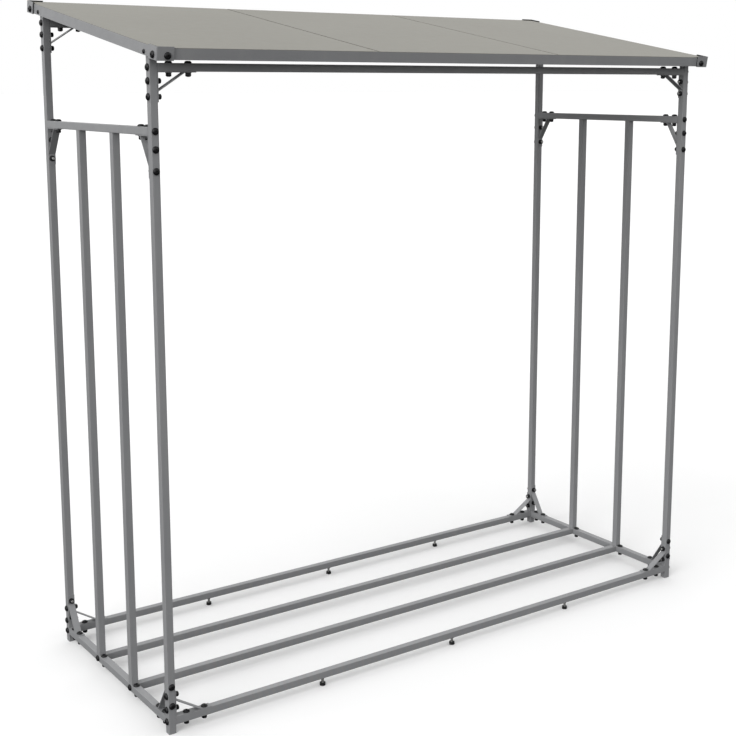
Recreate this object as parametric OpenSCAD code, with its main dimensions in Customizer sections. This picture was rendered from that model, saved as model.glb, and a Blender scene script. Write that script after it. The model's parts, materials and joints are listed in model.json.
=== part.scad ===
// Metal log store: an open frame of square tube with a sloping sheet roof.
// X runs along the front, Y from front to back, Z up. The origin is on the floor, in the middle.

/* [Frame] */
// Width over the legs
frame_w = 1850; // [1200:10:2600]
// Depth over the legs
frame_d = 700; // [450:10:1000]
// Outer size of the square tube
tube = 20; // [18:1:30]
// Wall of the square tube
tube_wall = 1; // [0.8:0.1:2]
// Outer corner radius of the square tube
tube_r = 1.5; // [0.5:0.1:2]
// Height of the front top rail's upper face
front_rail_top = 1694; // [1400:1:2000]
// How far the roof rises over the depth of the frame
roof_rise = 124; // [40:1:300]
// How much closer to the roof the back top rail is than the front one
back_rail_raise = 4; // [0:1:20]
// How far the upper side rails lie below the front top rail
side_rail_drop = 150; // [60:1:700]
// Length of the leg stubs below the base rails
stub_h = 23; // [15:1:60]
// Distance from the middle to the side bars and floor rails
bar_offset = 110; // [60:1:180]

/* [Roof] */
// How far the roof reaches past the legs at the front and the back
roof_overhang = 64; // [40:1:150]
// Width of the edge channels' flanges, which reach from the roof's sides to the legs
edge_flange = 8; // [6:1:30]
// Height of the roof's edge channels
edge_h = 28; // [20:1:50]
// Sheet thickness of the edge channels
edge_wall = 1; // [0.6:0.1:2]
// Sheet thickness of the roof panels
panel_t = 0.8; // [0.5:0.1:2]
// Depth of the folds where two panels meet
panel_fold = 18; // [8:1:24]
// Inner radius of the folds' bends
panel_bend = 2; // [0.5:0.1:3]
// Clearance between the folds of two panels
panel_clearance = 1; // [0.1:0.1:3]
// How high the roof's front edge stands over the front top rail
roof_lift = 33; // [20:1:80]
// Length of the corner caps along the roof's front and back
cap_front_arm = 41; // [25:1:80]
// Length of the corner caps along the roof's sides
cap_side_arm = 41; // [25:1:80]
// Sheet thickness of the corner caps
cap_t = 1.5; // [1:0.5:5]
// Thickness of the liners between the corner caps and the edge channels
liner_t = 2.5; // [1:0.5:5]
// How far the corner caps and their liners stand above the roof
cap_rise = 3; // [1:0.5:8]
// How far the corner caps and their liners reach below the edge channels
cap_drop = 1.5; // [0.5:0.5:6]
// Inner bend radius of the corner caps
cap_bend = 1.5; // [0.5:0.5:3]

/* [Brackets] */
// Long arm of a corner bracket
arm_long = 102; // [90:1:140]
// Short arm of a corner bracket
arm_short = 72; // [60:1:100]
// Where the diagonal meets the long arm
brace_long = 76; // [50:1:86]
// Where the diagonal meets the short arm
brace_short = 48; // [35:1:56]
// Thickness of the bracket strip
strip_t = 2; // [1.5:0.1:4]

/* [Feet] */
// Diameter of a levelling foot's pad
pad_d = 16; // [14:1:30]
// Height of a levelling foot's pad
pad_h = 8; // [5:1:12]
// Diameter of a levelling foot's stem
stem_d = 7; // [5:0.5:12]
// Distance from the middle to the outer levelling feet
foot_offset = 455; // [300:5:500]
// Height of the plugs in the legs' lower ends
plug_h = 14; // [6:1:30]
// Wall of the plugs in the legs' lower ends
plug_wall = 1.5; // [1:0.1:3]

/* [Hidden] */
$fn = 48;
half_w = frame_w / 2;
half_d = frame_d / 2;
rail_len = frame_w - 2 * tube;
side_len = frame_d - 2 * tube;
base_rail_top = stub_h + tube;
side_rail_top = front_rail_top - side_rail_drop;
back_rail_top = front_rail_top + roof_rise + back_rail_raise;
bar_len = side_rail_top - tube - base_rail_top;
bore = tube - 2 * tube_wall;

// The front caps' upper rims and the back caps' lower rims lie equally far out
roof_half_w = half_w + edge_flange;
roof_half_d = half_d + roof_overhang;
roof_front_z = front_rail_top + roof_lift;
roof_slope = atan(roof_rise / frame_d);
roof_len = (2 * roof_half_d - (edge_h + cap_drop - cap_rise) * sin(roof_slope)) / cos(roof_slope);
panel_w = 2 * roof_half_w / 3;

frame_grey = [0.46, 0.47, 0.48];
roof_grey = [0.64, 0.63, 0.59];
plastic_black = [0.08, 0.08, 0.08];
steel = [0.66, 0.66, 0.66];

// Square with round corners, centred on the origin
module round_square(size, r) {
    flat = size - 2 * r;
    square([size, flat], center = true);
    square([flat, size], center = true);
    for (x = [-1, 1], y = [-1, 1]) translate([x * flat / 2, y * flat / 2]) circle(r);
}

// Square tube from the origin along +Z
module tube_z(length) {
    linear_extrude(length) difference() {
        round_square(tube, tube_r);
        square(bore, center = true);
    }
}

// Square tube centred on the origin along X, and along Y
module tube_x(length) {
    rotate([0, 90, 0]) translate([0, 0, -length / 2]) tube_z(length);
}

module tube_y(length) {
    rotate([90, 0, 0]) translate([0, 0, -length / 2]) tube_z(length);
}

// Puts children in the roof's own frame: origin at the middle of its lower front edge,
// X along the edge and Y up the slope, on the panels' upper face
module on_roof() {
    translate([0, -roof_half_d, roof_front_z]) rotate([roof_slope, 0, 0]) children();
}

// Everything below the panels' underside
module below_panels() {
    on_roof() translate([-frame_w, -frame_w, -panel_t - 3 * frame_w])
        cube([2 * frame_w, 4 * frame_w, 3 * frame_w]);
}

// A leg at a corner, cut along the roof's slope; sx and sy are the corner's signs
module leg(sx, sy) {
    color(frame_grey) intersection() {
        translate([sx * (half_w - tube / 2), sy * (half_d - tube / 2), 0])
            tube_z(roof_front_z + roof_len);
        below_panels();
    }
}

module long_rail(y, top) {
    color(frame_grey) translate([0, y, top - tube / 2]) tube_x(rail_len);
}

module side_rail(sx, top) {
    color(frame_grey) translate([sx * (half_w - tube / 2), 0, top - tube / 2]) tube_y(side_len);
}

module side_bar(sx, sy) {
    color(frame_grey) translate([sx * (half_w - tube / 2), sy * bar_offset, base_rail_top])
        tube_z(bar_len);
}

// Outline of a corner bracket: one arm along +X, one along +Y, and the diagonal between them
module bracket_outline(ax, ay, bx, by) {
    brace = sqrt(bx * bx + by * by);
    square([ax, strip_t]);
    square([strip_t, ay]);
    intersection() {
        translate([bx, 0]) rotate(atan2(by, -bx)) translate([-brace, 0]) square([3 * brace, strip_t]);
        square([bx, by]);
    }
}

// Bracket in the XZ plane: X arm and Z arm from an inner corner, as wide as the tube
module bracket_xz(ax, az, bx, bz) {
    rotate([90, 0, 0]) translate([0, 0, -tube / 2]) linear_extrude(tube)
        bracket_outline(ax, az, bx, bz);
}

// A pair of brackets in the front or back frame, against rail and legs; up is +1 above the rail
module long_pair(sy, z, up) {
    color(frame_grey) for (sx = [-1, 1])
        translate([sx * (half_w - tube), sy * (half_d - tube / 2), z])
            mirror([sx > 0 ? 1 : 0, 0, 0]) mirror([0, 0, up > 0 ? 0 : 1])
                bracket_xz(arm_long, arm_short, brace_long, brace_short);
}

// A pair of brackets in a side frame
module side_pair(sx, z, up) {
    color(frame_grey) for (sy = [-1, 1])
        translate([sx * (half_w - tube / 2), sy * (half_d - tube), z])
            mirror([0, sy > 0 ? 1 : 0, 0]) mirror([0, 0, up > 0 ? 0 : 1]) rotate([0, 0, 90])
                bracket_xz(arm_short, arm_long, brace_short, brace_long);
}

// Edge of a panel seen along the slope: the sheet from x = 0 to width, and its fold if it has one
module half_panel_outline(width, folded) {
    r = folded ? panel_bend + panel_t : 0;
    translate([0, -panel_t]) square([width - r, panel_t]);
    if (folded) {
        translate([width - panel_t, -panel_fold]) square([panel_t, panel_fold - r]);
        translate([width - r, -r]) intersection() {
            difference() {
                circle(r);
                circle(panel_bend);
            }
            square(r);
        }
    }
}

// One roof panel; i is -1, 0 or 1 from left to right. It folds down where it meets a neighbour,
// and the folds end where the edge channels' flanges begin.
module panel(i) {
    color(roof_grey) on_roof() translate([i * panel_w, 0, 0]) for (s = [0, 1])
        mirror([s, 0, 0]) {
            folded = abs(i + 1 - 2 * s) < 2;
            width = panel_w / 2 - (folded ? panel_clearance / 2 : 0);
            difference() {
                rotate([90, 0, 0]) mirror([0, 0, 1]) linear_extrude(roof_len)
                    half_panel_outline(width, folded);
                for (y = [-1, roof_len - edge_flange]) translate([0, y, -panel_t - frame_w])
                    cube([panel_w, edge_flange + 1, frame_w]);
            }
        }
}

// Channel that opens inward, along +Y from the origin, its web on the YZ plane, under z = 0
module edge_channel(length) {
    rotate([-90, 0, 0]) linear_extrude(length) {
        square([edge_wall, edge_h - panel_t]);
        square([edge_flange, edge_wall]);
        translate([0, edge_h - panel_t - edge_wall]) square([edge_flange, edge_wall]);
    }
}

module side_edge(sx) {
    color(frame_grey) on_roof() mirror([sx > 0 ? 1 : 0, 0, 0])
        translate([-roof_half_w, 0, -panel_t]) edge_channel(roof_len);
}

module long_edge(back) {
    color(frame_grey) on_roof() translate([0, back ? roof_len : 0, -panel_t])
        mirror([0, back ? 1 : 0, 0]) translate([roof_half_w - edge_flange, 0, 0])
            rotate([0, 0, 90]) edge_channel(2 * (roof_half_w - edge_flange));
}

// Area round a roof corner from above, with the edge channels' faces on both axes: it reaches out
// from them, its outer bend has radius r, and its arms are longer than the caps' by extra
module corner_area(out, r, extra = 0) {
    translate([-out, r - out]) square([cap_front_arm + extra + out, cap_side_arm + extra + out - r]);
    translate([r - out, -out]) square([cap_front_arm + extra + out - r, cap_side_arm + extra + out]);
    translate([r - out, r - out]) circle(r);
}

module cap_outline() {
    difference() {
        corner_area(liner_t + cap_t, cap_bend + cap_t);
        corner_area(liner_t, cap_bend, 1);
    }
}

module liner_outline() {
    difference() {
        corner_area(liner_t, cap_bend);
        square(2 * frame_w);
    }
}

// Puts an outline at the roof's four corners, upright on the edge channels' faces
module corner_walls() {
    on_roof() for (sx = [0, 1], back = [0, 1])
        mirror([sx, 0, 0]) translate([-roof_half_w, back * roof_len, -edge_h - cap_drop])
            mirror([0, back, 0]) linear_extrude(edge_h + cap_drop + cap_rise) children();
}

// Places for three levelling feet under a long base rail
module foot_places(sy) {
    for (i = [-1, 0, 1]) translate([i * foot_offset, sy * (half_d - tube / 2), 0]) children();
}

module foot_pads(sy) {
    color(plastic_black) foot_places(sy) cylinder(d = pad_d, h = pad_h);
}

module foot_stems(sy) {
    color(steel) foot_places(sy) translate([0, 0, pad_h]) cylinder(d = stem_d, h = stub_h - pad_h);
}

// Cup-shaped plugs in the legs' lower ends, level with the ends
module leg_end_plugs() {
    color(plastic_black) for (sx = [-1, 1], sy = [-1, 1])
        translate([sx * (half_w - tube / 2), sy * (half_d - tube / 2), 0]) difference() {
            translate([-bore / 2, -bore / 2, 0]) cube([bore, bore, plug_h]);
            translate([plug_wall - bore / 2, plug_wall - bore / 2, plug_wall])
                cube([bore - 2 * plug_wall, bore - 2 * plug_wall, plug_h]);
        }
}

leg(-1, -1);  // front_left_leg
leg(1, -1);  // front_right_leg
leg(-1, 1);  // back_left_leg
leg(1, 1);  // back_right_leg
long_rail(-half_d + tube / 2, front_rail_top);  // front_top_rail
long_rail(half_d - tube / 2, back_rail_top);  // back_top_rail
side_rail(-1, side_rail_top);  // left_upper_side_rail
side_rail(1, side_rail_top);  // right_upper_side_rail
long_rail(-half_d + tube / 2, base_rail_top);  // front_base_rail
long_rail(half_d - tube / 2, base_rail_top);  // back_base_rail
side_rail(-1, base_rail_top);  // left_base_rail
side_rail(1, base_rail_top);  // right_base_rail
long_rail(-bar_offset, base_rail_top);  // front_floor_rail
long_rail(bar_offset, base_rail_top);  // back_floor_rail
side_bar(-1, -1);  // left_front_bar
side_bar(-1, 1);  // left_back_bar
side_bar(1, -1);  // right_front_bar
side_bar(1, 1);  // right_back_bar
long_pair(-1, front_rail_top - tube, -1);  // front_top_brackets
long_pair(1, back_rail_top - tube, -1);  // back_top_brackets
side_pair(-1, side_rail_top - tube, -1);  // left_upper_brackets
side_pair(1, side_rail_top - tube, -1);  // right_upper_brackets
long_pair(-1, base_rail_top, 1);  // front_base_brackets
long_pair(1, base_rail_top, 1);  // back_base_brackets
side_pair(-1, base_rail_top, 1);  // left_base_brackets
side_pair(1, base_rail_top, 1);  // right_base_brackets
panel(-1);  // roof_left_panel
panel(0);  // roof_middle_panel
panel(1);  // roof_right_panel
long_edge(false);  // roof_front_edge
long_edge(true);  // roof_back_edge
side_edge(-1);  // roof_left_edge
side_edge(1);  // roof_right_edge
color(frame_grey) corner_walls() cap_outline();  // roof_corner_caps
color(plastic_black) corner_walls() liner_outline();  // roof_cap_liners
foot_pads(-1);  // front_foot_pads
foot_pads(1);  // back_foot_pads
foot_stems(-1);  // front_foot_stems
foot_stems(1);  // back_foot_stems
leg_end_plugs();
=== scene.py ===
"""Looks of the log store: materials, bolts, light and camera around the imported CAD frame.

Metres, in the CAD's own frame: X along the front, Y from front to back, Z up, floor at z = 0.
"""
import json
import math
from collections import namedtuple

import bmesh
import bpy
from mathutils import Matrix, Vector


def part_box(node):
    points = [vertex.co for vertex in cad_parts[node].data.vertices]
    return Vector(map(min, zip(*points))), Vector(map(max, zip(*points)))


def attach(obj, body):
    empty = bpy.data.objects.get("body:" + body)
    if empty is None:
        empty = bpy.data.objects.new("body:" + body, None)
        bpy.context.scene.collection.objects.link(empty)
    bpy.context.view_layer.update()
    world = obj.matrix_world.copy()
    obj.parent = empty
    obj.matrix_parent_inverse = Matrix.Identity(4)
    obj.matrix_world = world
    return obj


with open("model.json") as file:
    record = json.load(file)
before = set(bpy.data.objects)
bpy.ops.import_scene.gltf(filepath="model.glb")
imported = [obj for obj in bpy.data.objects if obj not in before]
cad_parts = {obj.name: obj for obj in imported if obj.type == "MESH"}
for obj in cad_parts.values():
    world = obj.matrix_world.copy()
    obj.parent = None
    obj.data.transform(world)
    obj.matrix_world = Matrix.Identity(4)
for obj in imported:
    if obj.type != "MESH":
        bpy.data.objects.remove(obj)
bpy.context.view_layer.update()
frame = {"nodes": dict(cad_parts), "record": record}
scene = bpy.context.scene

# ---------------------------------------------------------------- camera
CAMERA_AT = (-2.2203, -3.1502, 1.6431)
CAMERA_TURN = 35.17      # degrees from +Y towards +X
CAMERA_DOWN = 9.51       # degrees below level
CAMERA_SENSOR = 36       # mm
CAMERA_LENS = 62.36      # mm
CAMERA_SHIFT = (-0.02428, -0.0947)

camera_data = bpy.data.cameras.new("camera")
camera_data.sensor_width = CAMERA_SENSOR
camera_data.lens = CAMERA_LENS
camera_data.shift_x, camera_data.shift_y = CAMERA_SHIFT
camera = bpy.data.objects.new("camera", camera_data)
camera.location = CAMERA_AT
camera.rotation_euler = (math.radians(90 - CAMERA_DOWN), 0, math.radians(-CAMERA_TURN))
scene.collection.objects.link(camera)
scene.camera = camera


# ---------------------------------------------------------------- materials
Layer = namedtuple("Layer", "height strength distance")    # one bump; distance in metres


class Graph:
    """A material's node tree, with short calls for the nodes used below."""

    def __init__(self, name):
        self.material = bpy.data.materials.new(name)
        self.material.use_nodes = True
        self.tree = self.material.node_tree
        self.shader = self.tree.nodes["Principled BSDF"]
        self.place = self.tree.nodes.new("ShaderNodeTexCoord").outputs["Object"]

    def add(self, kind, **values):
        node = self.tree.nodes.new(kind)
        for key, value in values.items():
            setattr(node, key, value)
        return node

    def join(self, out, into):
        self.tree.links.new(out, into)

    def set(self, name, value):
        """Sets one of the shader's inputs to a value that is the same all over, or joins a socket to it."""
        if isinstance(value, bpy.types.NodeSocket):
            self.join(value, self.shader.inputs[name])
        else:
            self.shader.inputs[name].default_value = value

    def stretched(self, scale):
        node = self.add("ShaderNodeMapping")
        node.inputs["Scale"].default_value = scale
        self.join(self.place, node.inputs["Vector"])
        return node.outputs["Vector"]

    def noise(self, scale, detail, rough=0.5, stretch=(1, 1, 1)):
        """Noise with scale bumps to the metre, more along the axes that are stretched more."""
        node = self.add("ShaderNodeTexNoise")
        node.inputs["Scale"].default_value = scale
        node.inputs["Detail"].default_value = detail
        node.inputs["Roughness"].default_value = rough
        self.join(self.stretched(stretch), node.inputs["Vector"])
        return node.outputs["Fac"]

    def openness(self, distance):
        """1 on open faces, less where other faces stand within the distance."""
        node = self.add("ShaderNodeAmbientOcclusion", samples=8)
        node.inputs["Distance"].default_value = distance
        return node.outputs["AO"]

    def ramp(self, fac, stops):
        """0 to 1 as fac goes from the first stop to the second."""
        node = self.add("ShaderNodeValToRGB")
        for element, at in zip(node.color_ramp.elements, stops):
            element.position = at
        self.join(fac, node.inputs["Fac"])
        return node.outputs["Color"]

    def mix(self, fac, a, b):
        """Mixed colour; fac is a socket, and a and b are each a colour or a socket."""
        node = self.add("ShaderNodeMix", data_type="RGBA")
        sockets = [s for s in node.inputs if s.type == "RGBA"]
        self.join(fac, node.inputs["Factor"])
        for socket, value in zip(sockets, (a, b)):
            if isinstance(value, bpy.types.NodeSocket):
                self.join(value, socket)
            else:
                socket.default_value = (*value, 1)
        return [s for s in node.outputs if s.type == "RGBA"][0]

    def span(self, fac, low, high, start=0.3, end=0.7):
        """Number from low to high as fac goes from start to end."""
        node = self.add("ShaderNodeMapRange")
        for name, value in (("From Min", start), ("From Max", end),
                            ("To Min", low), ("To Max", high)):
            node.inputs[name].default_value = value
        self.join(fac, node.inputs["Value"])
        return node.outputs["Result"]

    def bump(self, *layers):
        normal = None
        for height, strength, distance in layers:
            node = self.add("ShaderNodeBump")
            node.inputs["Strength"].default_value = strength
            node.inputs["Distance"].default_value = distance
            self.join(height, node.inputs["Height"])
            if normal is not None:
                self.join(normal, node.inputs["Normal"])
            normal = node.outputs["Normal"]
        self.set("Normal", normal)


PAINT_SHINE = 0.42       # powder coat's specular level
STREAKS = 0.22           # the most that a dust streak covers
FLECKS = 0.12            # and that a fleck does
GLOSS_CHANGE = 0.07      # how far the roughness goes up and down
GROOVE_REACH = 0.012     # a groove is where other faces stand this near
GROOVE_FULL = 0.94       # openness at or below which a groove's painted shade is full


def painted_metal(name, colour, worn, dusty, rough, uneven=1.0, groove_painted_shade=None):
    """Powder coat: an orange-peel skin, soft tone changes, thin dust streaks, and painted shade in narrow
    grooves.

    uneven scales the streaks, the flecks, the changes in gloss and the slow waves.
    """
    g = Graph(name)
    tone = g.ramp(g.noise(scale=2.3, detail=3), stops=(0.35, 0.65))
    body = g.mix(tone, colour, worn)
    dust = g.noise(scale=9, detail=4, rough=0.6, stretch=(3, 3, 0.35))
    body = g.mix(g.span(dust, low=0.0, high=STREAKS * uneven, start=0.5, end=0.8), body, dusty)
    grain = g.noise(scale=1600, detail=1)
    body = g.mix(g.span(grain, low=0.0, high=FLECKS * uneven, start=0.55, end=0.8), body, dusty)
    g.set("Specular IOR Level", PAINT_SHINE)
    if groove_painted_shade:
        # painted shade: in narrow grooves the colour goes dark and the shine goes out, standing in for the
        # shade that falls there
        unshaded = g.span(g.openness(GROOVE_REACH), low=0.0, high=1.0, start=GROOVE_FULL, end=1.0)
        body = g.mix(unshaded, groove_painted_shade, body)
        g.set("Specular IOR Level", g.span(unshaded, low=0.0, high=PAINT_SHINE, start=0.0, end=1.0))
    g.set("Base Color", body)
    gloss = g.noise(scale=38, detail=4, rough=0.6)
    change = GLOSS_CHANGE * uneven
    g.set("Roughness", g.span(gloss, low=rough - change, high=rough + change))
    peel = Layer(g.noise(scale=700, detail=2), strength=0.25, distance=0.00025)
    waves = Layer(g.noise(scale=18, detail=2), strength=0.12 * uneven, distance=0.0006)
    g.bump(peel, waves)
    return g.material


def black_finish(name, colour, pale, rough, grain, shine):
    """Dull black with pale specks; grain is their scale, and the gloss and the bumps are finer."""
    g = Graph(name)
    g.set("Specular IOR Level", shine)
    specks = g.ramp(g.noise(scale=grain, detail=3), stops=(0.4, 0.75))
    g.set("Base Color", g.mix(specks, colour, pale))
    gloss = g.noise(scale=grain * 2.5, detail=3)
    g.set("Roughness", g.span(gloss, low=rough - 0.07, high=rough + 0.1))
    g.bump(Layer(g.noise(scale=grain * 4, detail=2), strength=0.3, distance=0.0001))
    return g.material


def plated_steel(name, colour, dull, rough):
    """Zinc with dull patches, and threads along Z."""
    g = Graph(name)
    patches = g.ramp(g.noise(scale=240, detail=3), stops=(0.35, 0.7))
    g.set("Base Color", g.mix(patches, colour, dull))
    g.set("Metallic", 1.0)
    gloss = g.noise(scale=500, detail=2)
    g.set("Roughness", g.span(gloss, low=rough - 0.06, high=rough + 0.12))
    thread = g.add("ShaderNodeTexWave", bands_direction="Z")
    thread.inputs["Scale"].default_value = 130
    g.join(g.place, thread.inputs["Vector"])
    skin = Layer(g.noise(scale=900, detail=2), strength=0.2, distance=0.0001)
    g.bump(skin, Layer(thread.outputs["Fac"], strength=0.35, distance=0.0004))
    return g.material


FRAME_GREY = painted_metal(
    "frame_powder_coat", colour=(0.25, 0.253, 0.259), worn=(0.233, 0.236, 0.243),
    dusty=(0.34, 0.338, 0.33), rough=0.42)
# the roof's seams get painted shade, a near-black colour where its grooves are narrow
ROOF_GREY = painted_metal(
    "roof_powder_coat", colour=(0.191, 0.184, 0.156), worn=(0.183, 0.176, 0.149),
    dusty=(0.23, 0.222, 0.19), rough=0.48, uneven=0.2, groove_painted_shade=(0.012, 0.012, 0.01))
# black plastic for the pads and plugs, and painted shade on the corner caps' liners: black sheets put where
# the caps' inner and end faces stand in shade
BLACK_PLASTIC_AND_PAINTED_SHADE = black_finish(
    "black_plastic", colour=(0.008, 0.008, 0.009), pale=(0.018, 0.018, 0.018),
    rough=0.55, grain=260, shine=0.35)
BLACK_STEEL = black_finish(
    "black_oxide", colour=(0.006, 0.006, 0.007), pale=(0.016, 0.016, 0.017),
    rough=0.3, grain=420, shine=0.25)
STEEL = plated_steel("zinc_plating", colour=(0.52, 0.52, 0.51), dull=(0.38, 0.38, 0.37), rough=0.32)

SLOT_MATERIALS = {
    "frame_paint": FRAME_GREY,
    "roof_paint": ROOF_GREY,
    "black_plastic": BLACK_PLASTIC_AND_PAINTED_SHADE,
    "plated_steel": STEEL,
}
for part in frame["record"]["subparts"]:
    for material_slot in frame["nodes"][part["node"]].material_slots:
        material_slot.material = SLOT_MATERIALS[part["material_slot"]]


# ---------------------------------------------------------------- bolts
SIDES = 24               # points round a bolt, a multiple of six so that a hexagon keeps its corners
SHARP_EDGE = 32          # degrees; a sharper edge isn't smoothed
TURN_STEP = 0.7          # radians between one bolt's turn and the next
NUT_TURN = 0.3           # and between a bolt's turn and its nut's
BOLT_R = 0.004
HEAD_R = 0.009
HEAD_TALL = 0.0056
SOCKET_FLATS = 0.005
SOCKET_FLOOR = 0.003     # height of a socket's floor over the head's seat
WASHER_R = 0.008
WASHER_TALL = 0.0014
NUT_FLATS = 0.013
NUT_CORNER_R = 0.0072    # a nut's corners are turned down to this
NUT_HEX_TALL = 0.0085    # a nut's hexagon, and above it its locking ring
NUT_TALL = 0.0097
BOLT_END = 0.0106        # how far the bolt reaches past the nut's seat
SCREW_TALL = 0.0033
JAM_FLATS = 0.011
JAM_CORNER_R = 0.0061
JAM_TALL = 0.0031


def circle(radius):
    return lambda angle: radius


def hexagon(flats):
    """Distance from the middle to a hexagon's outline; flats is its width across flats."""
    return lambda angle: flats / 2 / math.cos((angle + math.pi / 6) % (math.pi / 3) - math.pi / 6)


def chamfered(flats, radius):
    """The same, with the corners turned down to a radius."""
    six = hexagon(flats)
    return lambda angle: min(six(angle), radius)


# Turned shapes: rings of (outline, height over the seat)
DOME_HEAD = [
    (circle(HEAD_R - 0.0003), 0), (circle(HEAD_R), 0.0004), (circle(HEAD_R), 0.0014),
    (circle(HEAD_R - 0.0005), 0.0027), (circle(HEAD_R - 0.0017), 0.0041),
    (circle(HEAD_R - 0.0033), 0.0051), (circle(HEAD_R - 0.005), HEAD_TALL),
    (hexagon(SOCKET_FLATS), HEAD_TALL), (hexagon(SOCKET_FLATS - 0.0002), SOCKET_FLOOR),
]
NUT = [
    (circle(WASHER_R), 0), (circle(WASHER_R), 0.0012), (circle(WASHER_R - 0.0003), WASHER_TALL),
    (chamfered(NUT_FLATS, NUT_FLATS / 2), WASHER_TALL), (chamfered(NUT_FLATS, NUT_CORNER_R), 0.0019),
    (chamfered(NUT_FLATS, NUT_CORNER_R), 0.0079), (chamfered(NUT_FLATS, NUT_FLATS / 2), NUT_HEX_TALL),
    (circle(0.0063), 0.0086), (circle(0.0061), 0.0094), (circle(BOLT_R + 0.0003), NUT_TALL),
    (circle(BOLT_R + 0.0003), 0.0088),
]
BOLT_TIP = [(circle(BOLT_R), 0.0086), (circle(BOLT_R), 0.01), (circle(BOLT_R - 0.0007), BOLT_END)]
SCREW_HEAD = [
    (circle(0.0056), 0), (circle(0.0058), 0.0005), (circle(0.0054), 0.0017), (circle(0.0042), 0.0028),
    (circle(0.0028), SCREW_TALL), (hexagon(0.0034), SCREW_TALL), (hexagon(0.0032), 0.0018),
]
JAM_NUT = [
    (chamfered(JAM_FLATS, JAM_FLATS / 2), 0), (chamfered(JAM_FLATS, JAM_CORNER_R), 0.0005),
    (chamfered(JAM_FLATS, JAM_CORNER_R), 0.0026), (chamfered(JAM_FLATS, JAM_FLATS / 2), JAM_TALL),
]


def lathe(mesh, rings, place):
    """Adds a closed turned shape to a mesh."""
    last = None
    for outline, height in rings:
        row = []
        for k in range(SIDES):
            angle = 2 * math.pi * k / SIDES
            r = outline(angle)
            row.append(mesh.verts.new(place @ Vector((r * math.cos(angle), r * math.sin(angle), height))))
        if last is None:
            mesh.faces.new(row[::-1])
        else:
            for k in range(SIDES):
                n = (k + 1) % SIDES
                mesh.faces.new((last[k], last[n], row[n], row[k]))
        last = row
    mesh.faces.new(last)


def facing(point, outward, turn=0.0):
    """Matrix that puts a shape's seat at point with its +Z along outward."""
    aim = Vector(outward).normalized().to_track_quat("Z", "Y").to_matrix().to_4x4()
    return Matrix.Translation(point) @ aim @ Matrix.Rotation(turn, 4, "Z")


def piece(name, shapes, material):
    """One joined mesh of many small shapes, each (rings, matrix)."""
    mesh = bmesh.new()
    for rings, place in shapes:
        lathe(mesh, rings, place)
    data = bpy.data.meshes.new(name)
    mesh.to_mesh(data)
    mesh.free()
    data.materials.append(material)
    data.shade_smooth()
    data.set_sharp_from_angle(angle=math.radians(SHARP_EDGE))
    made = bpy.data.objects.new(name, data)
    scene.collection.objects.link(made)
    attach(made, "root")


heads, nuts, tips = [], [], []


def turned():
    """A different, repeatable turn for each bolt."""
    return TURN_STEP * (len(heads) + 1) % (math.pi / 3)


def head(point, outward):
    heads.append((DOME_HEAD, facing(point, outward, turned())))


def nut(point, outward):
    place = facing(point, outward, turned() + NUT_TURN)
    nuts.append((NUT, place))
    tips.append((BOLT_TIP, place))


def bolt(point, outward, grip):
    """A bolt from its head's seat, through grip metres of metal, to its nut."""
    head(point, outward)
    nut(Vector(point) - Vector(outward) * grip, -Vector(outward))


UP = (0, 0, 1)
leg_lo, leg_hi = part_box("front_right_leg")
TUBE = leg_hi.x - leg_lo.x
LEG_OUT_X, LEG_IN_X = leg_hi.x, leg_lo.x
LEG_OUT_Y, LEG_IN_Y = -leg_lo.y, -leg_hi.y
LEG_X, LEG_Y = (LEG_OUT_X + LEG_IN_X) / 2, (LEG_OUT_Y + LEG_IN_Y) / 2
base_lo, base_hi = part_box("front_base_rail")
BASE_MIDDLE = (base_lo.z + base_hi.z) / 2
STRIP = 0.002            # thickness of the brackets' strip
GRIP = TUBE + STRIP
LONG_ARM = (0.0335, 0.085)    # bolts along a bracket's long arm, from its corner
SHORT_ARM = (0.022, 0.059)    # and along its short arm

# Front and back frames: long arms on the rails, short arms on the legs
for sy, top_rail in ((-1, "front_top_rail"), (1, "back_top_rail")):
    lo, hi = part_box(top_rail)
    y = sy * LEG_Y
    for sx in (-1, 1):
        for along in LONG_ARM:
            x = sx * (LEG_IN_X - along)
            bolt((x, y, hi.z), UP, GRIP)
            bolt((x, y, base_hi.z + STRIP), UP, GRIP)
        for along in SHORT_ARM:
            bolt((sx * LEG_OUT_X, y, lo.z - along), (sx, 0, 0), GRIP)
            bolt((sx * LEG_OUT_X, y, base_hi.z + along), (sx, 0, 0), GRIP)
        head((sx * LEG_OUT_X, y, (lo.z + hi.z) / 2), (sx, 0, 0))
        head((sx * LEG_OUT_X, y, BASE_MIDDLE), (sx, 0, 0))

# Side frames: long arms on the legs, short arms on the side rails
side_lo, side_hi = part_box("left_upper_side_rail")
for sx in (-1, 1):
    x = sx * LEG_X
    for sy in (-1, 1):
        for along in LONG_ARM:
            bolt((x, sy * LEG_OUT_Y, side_lo.z - along), (0, sy, 0), GRIP)
            bolt((x, sy * LEG_OUT_Y, base_hi.z + along), (0, sy, 0), GRIP)
        for along in SHORT_ARM:
            y = sy * (LEG_IN_Y - along)
            bolt((x, y, side_hi.z), UP, GRIP)
            bolt((x, y, base_hi.z + STRIP), UP, GRIP)
        head((x, sy * LEG_OUT_Y, (side_lo.z + side_hi.z) / 2), (0, sy, 0))
    # Floor rails: a head on the side rail's outer face, and a bolt down through it in front of each bar
    for floor_rail in ("front_floor_rail", "back_floor_rail"):
        lo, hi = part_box(floor_rail)
        y = (lo.y + hi.y) / 2
        head((sx * LEG_OUT_X, y, BASE_MIDDLE), (sx, 0, 0))
        bolt((x, y - TUBE, base_hi.z), UP, TUBE)

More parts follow.
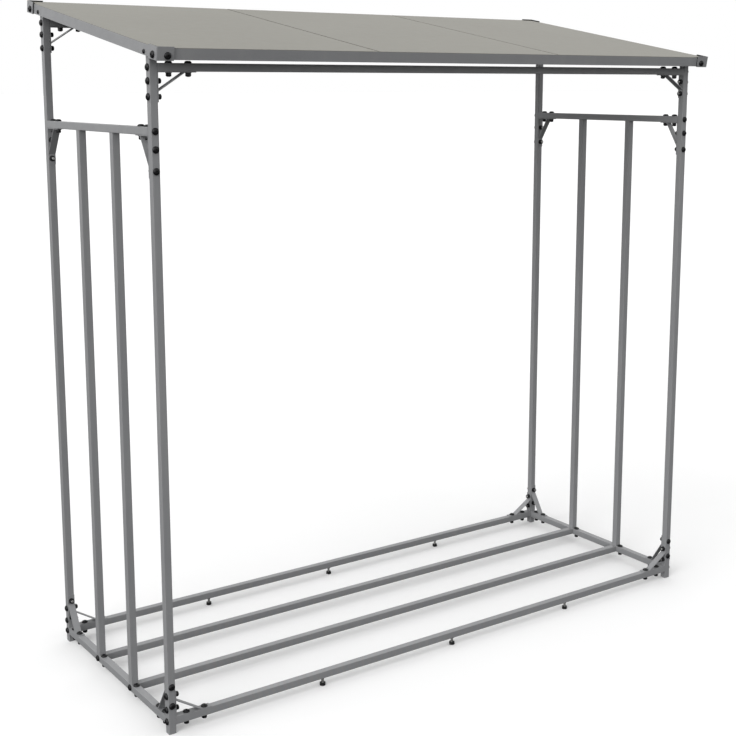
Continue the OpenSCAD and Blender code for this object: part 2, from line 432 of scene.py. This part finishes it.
# The roof's own frame: across it, up its slope and off its upper face, from the middle of its front edge
roof_mesh = frame["nodes"]["roof_middle_panel"].data
upper_face = max((f for f in roof_mesh.polygons if f.normal.z > 0.5), key=lambda f: f.area)
OFF_ROOF = upper_face.normal.copy()
ACROSS = Vector((1, 0, 0))
UP_SLOPE = OFF_ROOF.cross(ACROSS)
ROOF_FRONT = min((v.co for v in roof_mesh.vertices), key=lambda co: co.y) * Vector((0, 1, 1))


def reach(node, direction):
    """How far a node reaches along a direction, lowest and highest, from ROOF_FRONT."""
    along = [(v.co - ROOF_FRONT).dot(direction) for v in frame["nodes"][node].data.vertices]
    return min(along), max(along)


def on_roof(x, up, off):
    return ROOF_FRONT + ACROSS * x + UP_SLOPE * up + OFF_ROOF * off


# Bolts through the corner caps, and small screws through the side edges at the legs
CAP_FRONT_BOLT = 0.0285  # from a cap's corner to the bolt in its front or back face
CAP_SIDE_BOLT = {-1: 0.019, 1: 0.028}    # to the one in its side face, for the front and the back caps
CAP_BOLT_LOW = -0.0178   # from the roof's face down to the caps' bolts
SCREW_LOW = -0.0195      # and down to the screws
cap_front, cap_back = reach("roof_corner_caps", UP_SLOPE)
cap_side = reach("roof_corner_caps", ACROSS)[1]
edge_side = reach("roof_right_edge", ACROSS)[1]
screws = []
for sx in (-1, 1):
    for up, end in ((cap_front, -1), (cap_back, 1)):
        head(on_roof(sx * (cap_side - CAP_FRONT_BOLT), up, CAP_BOLT_LOW), UP_SLOPE * end)
        head(on_roof(sx * cap_side, up - end * CAP_SIDE_BOLT[end], CAP_BOLT_LOW), ACROSS * sx)
    for sy in (-1, 1):
        up = (sy * LEG_Y - ROOF_FRONT.y) / UP_SLOPE.y + SCREW_LOW * UP_SLOPE.z
        screws.append((SCREW_HEAD, facing(on_roof(sx * edge_side, up, SCREW_LOW), (sx, 0, 0))))

piece("bolt_heads", heads, BLACK_STEEL)
piece("bolt_nuts", nuts, BLACK_STEEL)
piece("bolt_tips", tips, STEEL)
piece("roof_screws", screws, BLACK_STEEL)

# Jam nuts where the levelling feet meet the rails
jam_nuts = []
for row in ("front_foot_stems", "back_foot_stems"):
    lo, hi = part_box(row)
    outer = (hi.x - lo.x - (hi.y - lo.y)) / 2
    for x in (-outer, 0, outer):
        jam_nuts.append((JAM_NUT, facing((x, (lo.y + hi.y) / 2, hi.z), (0, 0, -1))))
piece("foot_jam_nuts", jam_nuts, BLACK_STEEL)


# ---------------------------------------------------------------- floor and light
FLOOR_HALF = 200         # half the floor's width, so far that its edge doesn't show
FLOOR_PALE = (0.86, 0.86, 0.86)
FLOOR_PALER = (0.88, 0.88, 0.88)


def stage_floor():
    """Pale floor, lit like the rest but left out of the object's bounced light."""
    g = Graph("pale_floor")
    g.set("Base Color", g.mix(g.noise(scale=1.5, detail=2), FLOOR_PALE, FLOOR_PALER))
    g.set("Roughness", 0.9)
    g.set("Specular IOR Level", 0.1)
    data = bpy.data.meshes.new("floor")
    corners = [(x * FLOOR_HALF, y * FLOOR_HALF, 0) for x, y in ((-1, -1), (1, -1), (1, 1), (-1, 1))]
    data.from_pydata(corners, [], [(0, 1, 2, 3)])
    data.materials.append(g.material)
    floor = bpy.data.objects.new("floor", data)
    floor.visible_diffuse = False
    floor.visible_glossy = False
    scene.collection.objects.link(floor)


def soft_sun(name, turn, height, angle, strength):
    """Wide soft light from far away.

    turn is degrees from +Y towards +X, height is degrees above level, and angle is how wide it looks.
    """
    data = bpy.data.lights.new(name, "SUN")
    data.angle = math.radians(angle)
    data.energy = strength
    light = bpy.data.objects.new(name, data)
    t, h = math.radians(turn), math.radians(height)
    source = Vector((math.sin(t) * math.cos(h), math.cos(t) * math.cos(h), math.sin(h)))
    light.rotation_euler = source.to_track_quat("Z", "Y").to_euler()
    scene.collection.objects.link(light)


stage_floor()
soft_sun("key", turn=-100, height=38, angle=50, strength=1.3)
soft_sun("fill", turn=-118, height=8, angle=30, strength=0.85)

# White above the horizon, dim below it
HORIZON = (-0.05, -0.01)      # the steepness between which the world goes from dim to white
DIM, WHITE = 0.06, 1.0
world = bpy.data.worlds.new("studio")
world.use_nodes = True
sky = world.node_tree
way = sky.nodes.new("ShaderNodeSeparateXYZ")
rise = sky.nodes.new("ShaderNodeMapRange")
for name, value in zip(("From Min", "From Max", "To Min", "To Max"), (*HORIZON, DIM, WHITE)):
    rise.inputs[name].default_value = value
sky.links.new(sky.nodes.new("ShaderNodeTexCoord").outputs["Generated"], way.inputs["Vector"])
sky.links.new(way.outputs["Z"], rise.inputs["Value"])
sky.links.new(rise.outputs["Result"], sky.nodes["Background"].inputs["Strength"])
sky.nodes["Background"].inputs["Color"].default_value = (1, 1, 1, 1)
scene.world = world
scene.view_settings.view_transform = "Standard"

bpy.context.view_layer.update()
